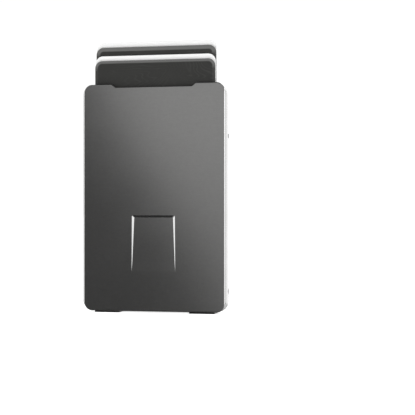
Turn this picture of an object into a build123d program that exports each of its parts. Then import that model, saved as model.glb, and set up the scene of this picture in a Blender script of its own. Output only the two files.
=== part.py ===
from build123d import *
import math
import os

os.makedirs("parts", exist_ok=True)

# Slim metal card wallet with a money clip. It stands upright: X is its width, -Y its front
# face, +Z up along the cards. Shapes are drawn in (x, d, h), where d is the depth behind the
# front face and h the height over the lower edge of the plates, and moved to the part's frame
# at the end: origin in the middle of the footprint, on the surface that it stands on.

# ------------------------------------------------------------------ driving dimensions, mm
PLATE_W, PLATE_H, PLATE_T, PLATE_R = 62.5, 99.1, 1.2, 3.4
BODY_T = 7.3                      # front face to back face, without the clip
RAIL_PROUD = 1.3                  # how far a rail bulges past the plates, at mid depth
RAIL_IN = 29.9                    # inner face of a rail
TONGUE_X, TONGUE_D0, TONGUE_D1 = 31.6, 0.78, PLATE_T   # sliding tongue of the front plate
GAP = 0.06                        # running gap between front plate and rails

NOTCH_TOP, NOTCH_FLOOR, NOTCH_DEEP = 19.0, 17.3, 1.5   # half widths and depth of the thumb notch
GROOVE_W, GROOVE_TOP, GROOVE_LEN, GROOVE_DEEP = 19.25, 41.8, 24.5, 0.35
GROOVE_BEVEL = 0.92               # width of the groove's sloping walls at its deep end

CARD_W, CARD_H, CARD_T, CARD_R = 53.98, 85.6, 0.76, 3.18
CARD_D0, CARD_PITCH = 1.9, 0.98  # front face of the first card, and the next one behind it
CARD_OUT = (10.5, 12.7, 16.6, 18.8)   # how far each card stands out over the plates
CARD_FLOOR = 11.0                 # height of a fully inserted card's lower edge
TRAVEL = PLATE_H + CARD_OUT[3] - CARD_H - CARD_FLOOR   # stroke of the front plate, 21.3
PLAY = 0.3                        # free play between a card and what it lands on

GUIDE_IN, GUIDE_OUT = 27.35, 29.85
INNER_D0, INNER_D1 = 1.4, BODY_T - PLATE_T     # room between the plates for the fixed inner parts
BLOCK_IN = 15.6                   # inner face of the lower blocks: the clip's legs are below them
LIFTER_X = 15.2

CLIP_T = 0.65                     # spring sheet
CLIP_RI = 3.65                    # inner radius of the bend under the wallet
CLIP_BASE, CLIP_STRIP = 26.9, 12.65   # half widths
CLIP_LEG0, CLIP_LEG_IN = 0.55, 15.6
CLIP_CREASE, CLIP_TOP = 56.4, 63.4
CLIP_LEAN0, CLIP_LEAN1 = 5.4, 0.9     # lean of the leaf towards the back plate, degrees
CLIP_FLARE = 15.0                     # outward lean of the lip, degrees

NOTE_X0, NOTE_X1, NOTE_H0, NOTE_H1, NOTE_T = -17.8, 19.9, 5.9, 72.1, 0.5
NOTE_GAP = 0.06

RAIL_SCREW_H = (9.0, 76.0)
Y_MID = (BODY_T + CLIP_RI + CLIP_T) / 2
Z_LIFT = CLIP_T


# ------------------------------------------------------------------ helpers
def slab(face, d0, d1):
    """A front-view outline (x, h) made solid from depth d0 to d1."""
    pl = Plane(origin=(0, d1, 0), x_dir=(1, 0, 0), z_dir=(0, -1, 0))
    return extrude(pl * face, amount=d1 - d0)


def box(x0, x1, d0, d1, h0, h1):
    return Pos((x0 + x1) / 2, (d0 + d1) / 2, (h0 + h1) / 2) * Box(x1 - x0, d1 - d0, h1 - h0)


def rod_y(x, h, r, d0, d1):
    return Pos(x, (d0 + d1) / 2, h) * Rot(90, 0, 0) * Cylinder(r, d1 - d0)


def rod_x(d, h, r, x0, x1):
    return Pos((x0 + x1) / 2, d, h) * Rot(0, 90, 0) * Cylinder(r, abs(x1 - x0))


def rod_z(x, d, r, h0, h1):
    return Pos(x, d, (h0 + h1) / 2) * Cylinder(r, h1 - h0)


def cone_y(x, h, r0, d0, r1, d1):
    """Countersink along the depth, radius r0 at depth d0 and r1 at depth d1."""
    f = make_face(Polyline((0, d0), (r0, d0), (r1, d1), (0, d1), close=True))
    return Pos(x, 0, h) * revolve(f, Axis.Y)


def mirror_x(shape):
    return mirror(shape, about=Plane.YZ)


def rrect(w, h, r):
    return Pos(0, PLATE_H / 2) * RectangleRounded(w, h, r)


def one(shape):
    """The biggest solid of a boolean's result."""
    return max(shape.solids(), key=lambda s: s.volume)


def round_edges(solid, pick, r):
    return solid.fillet(r, [e for e in solid.edges() if pick(e, e.center())])


def bevel_edges(solid, pick, a, b=None, face=None):
    return solid.chamfer(a, b, [e for e in solid.edges() if pick(e, e.center())], face)


def save(shape, name):
    moved = Pos(0, -Y_MID, Z_LIFT) * shape
    solids = moved.solids()
    out = solids[0] if len(solids) == 1 else Compound(children=list(solids))
    out.label = name
    export_step(out, f"parts/{name}.step")
    print(name, len(solids), "volume", round(sum(s.volume for s in solids), 2))


# ------------------------------------------------------------------ plates
def soft_plate(front, bevel, side_bevel):
    """A plate whose outer edge is bevelled: wide along the top and bottom, narrow at the sides."""
    d0, d1 = (0.0, PLATE_T) if front else (BODY_T - PLATE_T, BODY_T)
    body = slab(rrect(PLATE_W, PLATE_H, PLATE_R), d0, d1)
    grow = 2 * (bevel - side_bevel)
    cover = slab(rrect(PLATE_W + grow, PLATE_H, PLATE_R + grow / 4), d0, d1)
    face_d = d0 if front else d1
    cover = round_edges(one(cover), lambda e, c: abs(c.Y - face_d) < 1e-4, bevel)
    return one(body & cover)


front_plate = soft_plate(True, 0.55, 0.14)
# The tongues that hold the plate in the rails and let it slide. They stop short of the corners.
tongue = box(-TONGUE_X, TONGUE_X, TONGUE_D0, TONGUE_D1, 6.0, 93.5)
front_plate = one(front_plate + tongue)
# Thumb notch in the top edge, with rounded corners.
notch = make_face(Polyline((-NOTCH_TOP - 0.7, PLATE_H + 0.62), (-NOTCH_FLOOR, PLATE_H - NOTCH_DEEP),
                           (NOTCH_FLOOR, PLATE_H - NOTCH_DEEP), (NOTCH_TOP + 0.7, PLATE_H + 0.62), close=True))
notch = fillet([v for v in notch.vertices() if v.Y < PLATE_H], 1.2)
front_plate = one(front_plate - slab(notch, -1, PLATE_T + 1))
front_plate = bevel_edges(front_plate, lambda e, c: abs(c.Y) < 1e-3 and abs(c.X) < 18.9
                          and PLATE_H - NOTCH_DEEP - 0.05 < c.Z < PLATE_H - 0.62, 0.15)
# Thumb groove: a ramp that starts flush and ends deep, under a sloping ledge.
gx, ge = GROOVE_W / 2, 0.1
k = GROOVE_BEVEL / GROOVE_DEEP


def groove_cutter():
    # Section on the wallet's middle plane, made solid, then cut to the groove's sloping sides.
    top = GROOVE_TOP
    # The ramp rises gently for most of its length, then lifts out a little faster at its foot.
    h_end = top - GROOVE_LEN
    foot, shallow = 0.17 * GROOVE_LEN, 0.28 * GROOVE_DEEP
    prof = make_face(Wire([
        Line((-ge, top + k * ge), (GROOVE_DEEP, top - GROOVE_BEVEL)),
        Line((GROOVE_DEEP, top - GROOVE_BEVEL), (shallow, h_end + foot)),
        Line((shallow, h_end + foot), (0, h_end)),
        Line((0, h_end), (-ge, h_end - ge * foot / shallow)),
        Line((-ge, h_end - ge * foot / shallow), (-ge, top + k * ge)),
    ]))
    # local x is the depth and local y the height
    pl = Plane(origin=(-14, 0, 0), x_dir=(0, 1, 0), z_dir=(1, 0, 0))
    wedge = extrude(pl * prof, amount=28)
    flare = 0.15
    side = []
    for s in (1, -1):
        a = Vector(s * gx, 0, top)                               # ledge corner on the face
        b = Vector(s * (gx - GROOVE_BEVEL), GROOVE_DEEP, top - GROOVE_BEVEL)
        c = Vector(s * (gx + flare), 0, top - GROOVE_LEN)        # where the ramp is flush
        n = (b - a).cross(c - a)
        if n.X * s < 0:
            n = n * -1
        pln = Plane(origin=a, z_dir=n)
        side.append(pln)
    for pln in side:
        cut = pln * Pos(0, 0, 20) * Box(120, 120, 40)
        wedge = one(wedge - cut)
    return round_edges(wedge, lambda e, c: abs(abs(c.X) - (gx - GROOVE_BEVEL / 2)) < 0.45
                       and c.Z > top - GROOVE_BEVEL - 0.05 and e.length < 3, 1.3)


front_plate = one(front_plate - groove_cutter())

back_plate = soft_plate(False, 0.55, 0.14)
back_tongue = box(-TONGUE_X, TONGUE_X, BODY_T - TONGUE_D1, BODY_T - TONGUE_D0, 6.0, 93.5)
back_plate = one(back_plate + back_tongue)


# ------------------------------------------------------------------ side rails
def rail_profile():
    """Section of the right rail in (x - corner centre, d): a flat-sided bulge, soft at both faces."""
    edge = PLATE_R + 0.02                            # where the bulge starts, just past the plate
    out = PLATE_R + RAIL_PROUD
    sh = out - 0.32                                  # shoulder, where the front rounding ends
    t = BODY_T
    pts = [
        Line((0, 0.12), (edge, 0.12)),
        ThreePointArc((edge, 0.12), (edge + 0.62, 0.34), (sh, 0.95)),
        ThreePointArc((sh, 0.95), (out, t / 2), (sh, t - 0.95)),
        ThreePointArc((sh, t - 0.95), (edge + 0.62, t - 0.34), (edge, t - 0.12)),
        Line((edge, t - 0.12), (0, t - 0.12)),
        Line((0, t - 0.12), (0, 0.12)),
    ]
    return make_face(Wire(pts))


def rail_right():
    cx = PLATE_W / 2 - PLATE_R
    prof = rail_profile()
    out = PLATE_R + RAIL_PROUD
    lo, hi = out, PLATE_H - out
    # the section lies in the (x, d) plane, so it is extruded along the height
    straight = Pos(cx, 0, lo) * extrude(prof, amount=hi - lo)
    top = Pos(cx, 0, hi) * revolve(prof, Axis.Y, revolution_arc=90)
    if top.center().Z < hi:
        top = Pos(cx, 0, hi) * revolve(prof, Axis.Y, revolution_arc=-90)
    low = mirror(top, about=Plane(origin=(0, 0, PLATE_H / 2), z_dir=(0, 0, 1)))
    body = straight + top + low
    body = body & box(RAIL_IN, 40, -1, BODY_T + 1, -1, PLATE_H + 1)
    # the front plate's bed runs straight out at the top, so that the plate can slide up
    hole = slab(rrect(PLATE_W + 2 * GAP, PLATE_H + 2 * GAP, PLATE_R + GAP), -1, PLATE_T + 0.12)
    body = body - hole - box(25, PLATE_W / 2 + GAP, -1, PLATE_T + 0.12, 60, PLATE_H + 1)
    hole = slab(rrect(PLATE_W, PLATE_H, PLATE_R), BODY_T - PLATE_T, BODY_T + 1)
    body = body - hole
    body = body - box(30, TONGUE_X + 0.1, TONGUE_D0 - 0.1, PLATE_T + 0.12, -1, PLATE_H + 1)
    body = body - box(30, TONGUE_X, BODY_T - PLATE_T, BODY_T - TONGUE_D0, 6.0, 93.5)
    for h in RAIL_SCREW_H:
        body = body - rod_x(BODY_T / 2, h, 0.63, 28, 33) - rod_x(BODY_T / 2, h, 1.13, 31.7, 33)
    return one(body)


right_side_rail = rail_right()
left_side_rail = mirror_x(right_side_rail)


# ------------------------------------------------------------------ inner guides and blocks
LUG_H0, LUG_H1 = 40.0, 43.0
LUG_X0, LUG_X1, LUG_D1 = 28.0, 29.3, 2.4
GUIDE_SCREW_H = (16.0, 90.0)
GUIDE_SCREW_X = 28.6
BLOCK_SCREW = (20.9, 8.0)
CLIP_SCREW_X, CLIP_SCREW_D = (18.5, 24.0), 3.75
SPRING_H0, SPRING_H1 = 30.0, 62.0


def guide_right():
    g = box(GUIDE_IN, GUIDE_OUT, INNER_D0, INNER_D1, CARD_FLOOR - PLAY, 97.4)
    # lead-in for the cards at the top
    g = bevel_edges(one(g), lambda e, c: abs(c.Z - 97.4) < 1e-4 and abs(c.X - GUIDE_IN) < 1e-4, 0.6)
    # groove that the front plate's stop lug runs in; its two ends are the slider's stops
    g = g - box(LUG_X0 - 0.2, GUIDE_OUT + 1, 0, LUG_D1 + 0.3, LUG_H0 - PLAY, LUG_H1 + TRAVEL + PLAY)
    # pocket for the card spring
    g = g - box(GUIDE_IN - 1, GUIDE_IN + 1.2, 3.0, 5.6, SPRING_H0 - 0.2, SPRING_H1 + 0.2)
    g = g - rod_x(BODY_T / 2, RAIL_SCREW_H[1], 0.61, 28.55, 31)
    for h in GUIDE_SCREW_H:
        g = g - rod_y(GUIDE_SCREW_X, h, 0.51, 0, 8) - rod_y(GUIDE_SCREW_X, h, 0.96, 0, INNER_D0 + 0.65)
    return one(g)


right_card_guide = guide_right()
left_card_guide = mirror_x(right_card_guide)


def block_right():
    b = box(BLOCK_IN, GUIDE_OUT, INNER_D0, INNER_D1, 0.0, CARD_FLOOR - PLAY)
    b = b & slab(rrect(PLATE_W - 0.3, PLATE_H, PLATE_R), 0, BODY_T)
    b = one(b)
    b = b - rod_x(BODY_T / 2, RAIL_SCREW_H[0], 0.61, 28.05, 31)
    x, h = BLOCK_SCREW
    b = b - rod_y(x, h, 0.51, 0, 8) - rod_y(x, h, 0.96, 0, INNER_D0 + 0.65)
    for x in CLIP_SCREW_X:
        b = b - rod_z(x, CLIP_SCREW_D, 0.66, -1, 4.6)
    # dimple for the slider's detent
    b = b - (Pos(BLOCK_IN, 5.2, 6.0) * Rot(90, 0, 0) * Cylinder(0.34, 1.2))
    return one(b)


right_bottom_block = block_right()
left_bottom_block = mirror_x(right_bottom_block)


def spring_right():
    """Bowed leaf in the guide's pocket that presses on the cards' edges."""
    mid = (SPRING_H0 + SPRING_H1) / 2
    x_end, x_mid, t = GUIDE_IN + 1.0, GUIDE_IN - 0.18, 0.16
    outer = ThreePointArc((x_end, SPRING_H0), (x_mid, mid), (x_end, SPRING_H1))
    inner = ThreePointArc((x_end + t, SPRING_H1), (x_mid + t, mid), (x_end + t, SPRING_H0))
    f = make_face(Wire([outer, Line((x_end, SPRING_H1), (x_end + t, SPRING_H1)), inner,
                        Line((x_end + t, SPRING_H0), (x_end, SPRING_H0))]))
    return one(slab(f, 3.1, 5.5))


right_card_spring = spring_right()
left_card_spring = mirror_x(right_card_spring)

rear_card_pad = slab(Pos(0, 66) * RectangleRounded(36, 50, 3), BODY_T - PLATE_T - 0.3, BODY_T - PLATE_T)
front_card_pad = slab(Pos(0, 76) * RectangleRounded(36, 30, 3), PLATE_T, PLATE_T + 0.3)


# ------------------------------------------------------------------ card lifter, fixed to the front plate
LIFT_FLOOR = 0.3
CARD_BOTTOM = [PLATE_H + o - CARD_H for o in CARD_OUT]
STEP_TOP = [b - TRAVEL - PLAY for b in CARD_BOTTOM]
STEP_D = [CARD_D0 - 0.13 + i * CARD_PITCH for i in range(4)] + [5.85]
LIFT_SCREWS = [(s * 11.0, h) for s in (1, -1) for h in (7.0, 12.0)]


def lifter():
    pts = [(PLATE_T, LIFT_FLOOR), (STEP_D[4], LIFT_FLOOR), (STEP_D[4], STEP_TOP[3])]
    for i in (3, 2, 1):
        pts += [(STEP_D[i], STEP_TOP[i]), (STEP_D[i], STEP_TOP[i - 1])]
    pts += [(STEP_D[0], STEP_TOP[0]), (STEP_D[0], 14.0), (PLATE_T, 14.0)]
    f = make_face(Polyline(*pts, close=True))
    pl = Plane(origin=(-LIFTER_X, 0, 0), x_dir=(0, 1, 0), z_dir=(1, 0, 0))
    body = extrude(pl * f, amount=2 * LIFTER_X)
    # side pockets for the detent springs
    for s in (1, -1):
        body = body - box(s * LIFTER_X - 1.1, s * LIFTER_X + 1.1, 4.7, STEP_D[4] + 1, 2.4, 9.6)
    for x, h in LIFT_SCREWS:
        body = body - rod_y(x, h, 0.52, 0, 2) - cone_y(x, h, 0.52, PLATE_T + 0.06, 1.0, STEP_D[0] + 0.001)
    return one(body)


def detent(s):
    """Bent leaf that clicks into the lower block's dimple when the slider is home."""
    x_in, t = LIFTER_X - 1.1, 0.2
    f = make_face(Wire([
        Line((x_in, 2.6), (x_in + t, 2.6)),
        Line((x_in + t, 2.6), (x_in + t, 3.6)),
        ThreePointArc((x_in + t, 3.6), (LIFTER_X + 0.2, 6.0), (x_in + t, 8.4)),
        Line((x_in + t, 8.4), (x_in + t, 9.4)),
        Line((x_in + t, 9.4), (x_in, 9.4)),
        Line((x_in, 9.4), (x_in, 8.35)),
        ThreePointArc((x_in, 8.35), (LIFTER_X + 0.2 - t, 6.0), (x_in, 3.65)),
        Line((x_in, 3.65), (x_in, 2.6)),
    ]))
    leaf = one(slab(f, 4.85, 5.55))
    return leaf if s > 0 else mirror_x(leaf)


card_lifter = lifter()
lifter_detent_springs = detent(1) + detent(-1)
lifter_screws = None
for x, h in LIFT_SCREWS:
    head = cone_y(x, h, 0.5, PLATE_T + 0.06, 0.88, STEP_D[0] - 0.05)
    scr = head + rod_y(x, h, 0.5, 0.45, PLATE_T + 0.07)
    scr = scr - box(x - 0.6, x + 0.6, STEP_D[0] - 0.22, STEP_D[0], h - 0.11, h + 0.11)
    lifter_screws = scr if lifter_screws is None else lifter_screws + scr
    front_plate = front_plate - rod_y(x, h, 0.5, 0.45, 2)
slider_stop_lugs = None
for s in (1, -1):
    x0, x1 = sorted((s * LUG_X0, s * LUG_X1))
    lug = box(x0, x1, PLATE_T, LUG_D1, LUG_H0, LUG_H1)
    lug = lug + rod_y(s * (LUG_X0 + LUG_X1) / 2, (LUG_H0 + LUG_H1) / 2, 0.5, 0.5, PLATE_T + 0.1)
    front_plate = front_plate - rod_y(s * (LUG_X0 + LUG_X1) / 2, (LUG_H0 + LUG_H1) / 2, 0.5, 0.5, 2)
    slider_stop_lugs = lug if slider_stop_lugs is None else slider_stop_lugs + lug
front_plate = one(front_plate)


# ------------------------------------------------------------------ money clip
# Its section (d, h): leg under the wallet, bend, leaf that leans on the back plate, flared lip.
CC = (BODY_T, CLIP_RI)                       # bend centre
RO = CLIP_RI + CLIP_T
RM = CLIP_RI + CLIP_T / 2


def polar(r, deg):
    """Point on the bend, 0 straight down, 90 straight back."""
    a = math.radians(deg)
    return (CC[0] + r * math.sin(a), CC[1] - r * math.cos(a))


A1 = 90 + CLIP_LEAN0
HINGE = polar(RM, A1)
# leaf: an arc of constant curvature from lean0 to lean1 between the bend and the crease
l0, l1 = math.radians(CLIP_LEAN0), math.radians(CLIP_LEAN1)
rise = CLIP_CREASE - HINGE[1]
LEAF_R = rise / (math.sin(l0) - math.sin(l1))


def leaf_point(t, off):
    """t from 0 at the hinge to 1 at the crease; off is the distance outside the mid surface."""
    a = l0 + (l1 - l0) * t
    d = HINGE[0] - LEAF_R * (math.cos(a) - math.cos(l0))
    h = HINGE[1] + LEAF_R * (math.sin(l0) - math.sin(a))
    return (d + off * math.cos(a), h + off * math.sin(a))


def clip_sections():
    o = CLIP_T / 2
    fl = math.radians(CLIP_FLARE)
    crease = leaf_point(1, 0)
    lip_len = (CLIP_TOP - crease[1]) / math.cos(fl)
    # the lip's direction leans outwards
    lip = lambda s, off: (crease[0] + s * math.sin(fl) + off * math.cos(fl),
                          crease[1] + s * math.cos(fl) - off * math.sin(fl))
    # mitre of the two straight sides at the crease
    a_leaf = -l1
    half = (fl - a_leaf) / 2
    mit = lambda off: (crease[0] + off * math.cos((fl + a_leaf) / 2) / math.cos(half),
                       crease[1] - off * math.sin((fl + a_leaf) / 2) / math.cos(half))
    end = 0.94
    leaf = Wire([
        ThreePointArc(leaf_point(0, o), leaf_point(end / 2, o), leaf_point(end, o)),
        Spline(leaf_point(end, o), mit(o), lip(2.2, o),
               tangents=[(-math.sin(l1), math.cos(l1)), (math.sin(fl), math.cos(fl))]),
        Line(lip(2.2, o), lip(lip_len, o)),
        Line(lip(lip_len, o), lip(lip_len, -o)),
        Line(lip(lip_len, -o), lip(2.2, -o)),
        Spline(lip(2.2, -o), mit(-o), leaf_point(end, -o),
               tangents=[(-math.sin(fl), -math.cos(fl)), (math.sin(l1), -math.cos(l1))]),
        ThreePointArc(leaf_point(end, -o), leaf_point(end / 2, -o), leaf_point(0, -o)),
        ThreePointArc(leaf_point(0, -o),
                      (HINGE[0] + o * math.sin(l0), HINGE[1] - o * math.cos(l0)),
                      leaf_point(0, o)),
    ])
    leg_end = CLIP_LEG0
    foot = Wire([
        Line((leg_end, -CLIP_T), (CC[0], -CLIP_T)),
        ThreePointArc((CC[0], -CLIP_T), polar(RO, A1 / 2), polar(RO, A1)),
        Line(polar(RO, A1), polar(CLIP_RI, A1)),
        ThreePointArc(polar(CLIP_RI, A1), polar(CLIP_RI, A1 / 2), (CC[0], 0)),
        Line((CC[0], 0), (leg_end, 0)),
        Line((leg_end, 0), (leg_end, -CLIP_T)),
    ])
    return make_face(leaf), make_face(foot)


def clip_outline():
    """Front view of the clip: strip, concave flanks, straight flares down to the bend."""
    end, sx = (19.4, 11.4), 0.655                # where the flank turns straight, and its slope
    flank = Spline((CLIP_STRIP, 40.0), (12.8, 35.4), (13.4, 30.0), (14.4, 24.8), (15.95, 19.4), (17.9, 14.3), end,
                   tangents=[(0.0, -1.0), (sx, -1.0)])
    bottom = -2.0
    xb = end[0] + sx * (end[1] - bottom)
    edges = [
        Line((0, CLIP_TOP + 1), (CLIP_STRIP, CLIP_TOP + 1)),
        Line((CLIP_STRIP, CLIP_TOP + 1), (CLIP_STRIP, 40.0)),
        flank,
        Line(end, (xb, bottom)),
        Line((xb, bottom), (0, bottom)),
        Line((0, bottom), (0, CLIP_TOP + 1)),
    ]
    half = make_face(Wire(edges))
    return half + mirror(half, about=Plane.YZ)


leaf_face, foot_face = clip_sections()
pl = Plane(origin=(-40, 0, 0), x_dir=(0, 1, 0), z_dir=(1, 0, 0))
leaf_bar = extrude(pl * leaf_face, amount=80)
foot_bar = extrude(pl * foot_face, amount=80)
outline = clip_outline()
money_clip_leaf = one(leaf_bar & slab(outline, 5, 20))
# rounded upper corners of the lip
money_clip_leaf = round_edges(money_clip_leaf, lambda e, c: abs(abs(c.X) - CLIP_STRIP) < 1e-3
                              and c.Z > CLIP_TOP - 1 and e.length < 1, 1.5)
foot = foot_bar & slab(outline, -1, 20)
foot = foot & box(-CLIP_BASE, CLIP_BASE, -1, 20, -2, 20)
foot = foot - box(-CLIP_LEG_IN, CLIP_LEG_IN, -1, BODY_T - 0.3, -2, 1)
knuckle = rod_x(HINGE[0], HINGE[1], CLIP_T / 2 + 0.03, -30, 30)
foot = one(foot - knuckle)
foot = round_edges(foot, lambda e, c: abs(abs(c.X) - CLIP_LEG_IN) < 1e-3
                   and abs(c.Y - (BODY_T - 0.3)) < 1e-3 and e.length < 1, 1.5)
foot = round_edges(foot, lambda e, c: abs(c.Y - CLIP_LEG0) < 1e-3 and e.length < 1, 0.8)
clip_screws = None
for s in (1, -1):
    for x in CLIP_SCREW_X:
        f = make_face(Polyline((0, -CLIP_T), (1.25, -CLIP_T), (0.66, 0), (0, 0), close=True))
        f = Plane.XZ * f
        sink = Pos(s * x, CLIP_SCREW_D, 0) * revolve(f, Axis.Z)
        foot = foot - sink
        g = make_face(Polyline((0, -CLIP_T + 0.06), (1.17, -CLIP_T + 0.06), (0.63, 0), (0.63, 4.5), (0, 4.5), close=True))
        scr = Pos(s * x, CLIP_SCREW_D, 0) * revolve(Plane.XZ * g, Axis.Z)
        scr = scr - box(s * x - 0.13, s * x + 0.13, CLIP_SCREW_D - 0.75, CLIP_SCREW_D + 0.75, -CLIP_T, -CLIP_T + 0.3)
        scr = scr - box(s * x - 0.75, s * x + 0.75, CLIP_SCREW_D - 0.13, CLIP_SCREW_D + 0.13, -CLIP_T, -CLIP_T + 0.3)
        clip_screws = scr if clip_screws is None else clip_screws + scr
money_clip_foot = one(foot)

# ------------------------------------------------------------------ hidden and side screws
rail_screws = None
for s in (1, -1):
    for i, h in enumerate(RAIL_SCREW_H):
        tip = 28.6 if i else 28.1
        x_face = PLATE_W / 2 + RAIL_PROUD - 0.16
        scr = rod_x(BODY_T / 2, h, 0.6, tip, 31.75) + rod_x(BODY_T / 2, h, 1.1, 31.72, x_face)
        scr = round_edges(one(scr), lambda e, c: abs(c.X - x_face) < 1e-3, 0.12)
        # six-sided socket
        hexa = Pos(x_face, BODY_T / 2, h) * Rot(0, 90, 0) * extrude(RegularPolygon(0.55, 6), amount=0.35, both=True)
        scr = one(scr - hexa)
        scr = scr if s > 0 else mirror_x(scr)
        rail_screws = scr if rail_screws is None else rail_screws + scr

guide_screws = None
for s in (1, -1):
    for x, h in ((GUIDE_SCREW_X, GUIDE_SCREW_H[0]), (GUIDE_SCREW_X, GUIDE_SCREW_H[1]), BLOCK_SCREW):
        scr = rod_y(s * x, h, 0.5, INNER_D0 + 0.6, BODY_T - 0.5) + rod_y(s * x, h, 0.93, INNER_D0 + 0.1, INNER_D0 + 0.65)
        scr = scr - box(s * x - 0.11, s * x + 0.11, 0, INNER_D0 + 0.35, h - 0.6, h + 0.6)
        guide_screws = scr if guide_screws is None else guide_screws + scr
        back_plate = back_plate - rod_y(s * x, h, 0.5, 5, BODY_T - 0.5)
back_plate = one(back_plate)


# ------------------------------------------------------------------ cards and banknote
def card(i):
    d0 = CARD_D0 + i * CARD_PITCH
    low = CARD_BOTTOM[i]
    face = Pos(0, low + CARD_H / 2) * RectangleRounded(CARD_W, CARD_H, CARD_R)
    body = slab(face, d0, d0 + CARD_T)
    body = one(body)
    pick = lambda e, c: abs(c.Y - d0) < 1e-4
    if i % 2 == 0:
        # the dark cards have a wide, shallow bevel round their front face
        ref = [f for f in body.faces() if abs(f.center().Y - d0) < 1e-4][0]
        return bevel_edges(body, pick, 0.95, 0.13, ref)
    return round_edges(body, pick, 0.15)


cards = [card(i) for i in range(4)]

note_d0 = BODY_T + NOTE_GAP
note = box(NOTE_X0, NOTE_X1, note_d0, note_d0 + NOTE_T, NOTE_H0, NOTE_H1)
banknote = round_edges(one(note), lambda e, c: e.length > 60
                       and min(abs(c.X - NOTE_X0), abs(c.X - NOTE_X1)) < 1e-4, 0.22)

# ------------------------------------------------------------------ output
PARTS = {
    "front_plate": front_plate, "back_plate": back_plate,
    "left_side_rail": left_side_rail, "right_side_rail": right_side_rail,
    "left_card_guide": left_card_guide, "right_card_guide": right_card_guide,
    "left_card_spring": left_card_spring, "right_card_spring": right_card_spring,
    "left_bottom_block": left_bottom_block, "right_bottom_block": right_bottom_block,
    "rear_card_pad": rear_card_pad, "front_card_pad": front_card_pad,
    "card_lifter": card_lifter, "lifter_detent_springs": lifter_detent_springs,
    "lifter_screws": lifter_screws, "slider_stop_lugs": slider_stop_lugs,
    "rail_screws": rail_screws, "guide_screws": guide_screws, "clip_screws": clip_screws,
    "money_clip_foot": money_clip_foot, "money_clip_leaf": money_clip_leaf,
    "card_1": cards[0], "card_2": cards[1], "card_3": cards[2], "card_4": cards[3],
    "banknote": banknote,
}
for name, shape in PARTS.items():
    save(shape, name)
print("travel", round(TRAVEL, 3), "card bottoms", [round(b, 2) for b in CARD_BOTTOM],
      "steps", [round(s, 2) for s in STEP_TOP])
print("hinge y z", round(HINGE[0] - Y_MID, 4), round(HINGE[1] + Z_LIFT, 4),
      "inside of the leaf at the crease, behind the back plate", round(leaf_point(1, -CLIP_T / 2)[0] - BODY_T, 3))
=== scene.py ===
import bpy, bmesh, math, random
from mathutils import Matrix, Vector


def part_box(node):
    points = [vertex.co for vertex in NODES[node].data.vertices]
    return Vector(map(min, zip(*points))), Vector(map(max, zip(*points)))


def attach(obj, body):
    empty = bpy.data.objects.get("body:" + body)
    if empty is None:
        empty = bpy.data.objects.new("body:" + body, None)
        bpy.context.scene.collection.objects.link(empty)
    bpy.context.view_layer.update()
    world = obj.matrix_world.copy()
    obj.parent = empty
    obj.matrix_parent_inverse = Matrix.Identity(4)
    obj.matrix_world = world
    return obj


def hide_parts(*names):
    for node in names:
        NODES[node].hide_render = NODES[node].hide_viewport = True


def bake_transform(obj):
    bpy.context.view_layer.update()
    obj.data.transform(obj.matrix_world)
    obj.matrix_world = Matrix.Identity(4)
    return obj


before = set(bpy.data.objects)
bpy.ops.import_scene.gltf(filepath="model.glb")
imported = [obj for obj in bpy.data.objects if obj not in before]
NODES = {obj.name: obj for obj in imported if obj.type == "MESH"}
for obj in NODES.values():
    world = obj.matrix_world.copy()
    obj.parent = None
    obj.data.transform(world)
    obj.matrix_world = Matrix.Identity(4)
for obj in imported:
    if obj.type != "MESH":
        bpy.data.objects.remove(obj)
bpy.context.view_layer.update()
MM = 0.001
scene = bpy.context.scene

# ------------------------------------------------------------------ camera
cam_data = bpy.data.cameras.new("camera")
cam_data.lens = 104.1
cam_data.sensor_width = 36.0
cam_data.clip_start = 0.01
cam_data.clip_end = 50
cam = bpy.data.objects.new("camera", cam_data)
scene.collection.objects.link(cam)
cam.location = (0.13442, -0.50962, 0.04586)
look = Vector((-0.21393, 0.97685, 0.0))
cam.rotation_euler = look.to_track_quat("-Z", "Y").to_euler()
scene.camera = cam
scene.view_settings.view_transform = "Standard"
scene.view_settings.look = "None"


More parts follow.
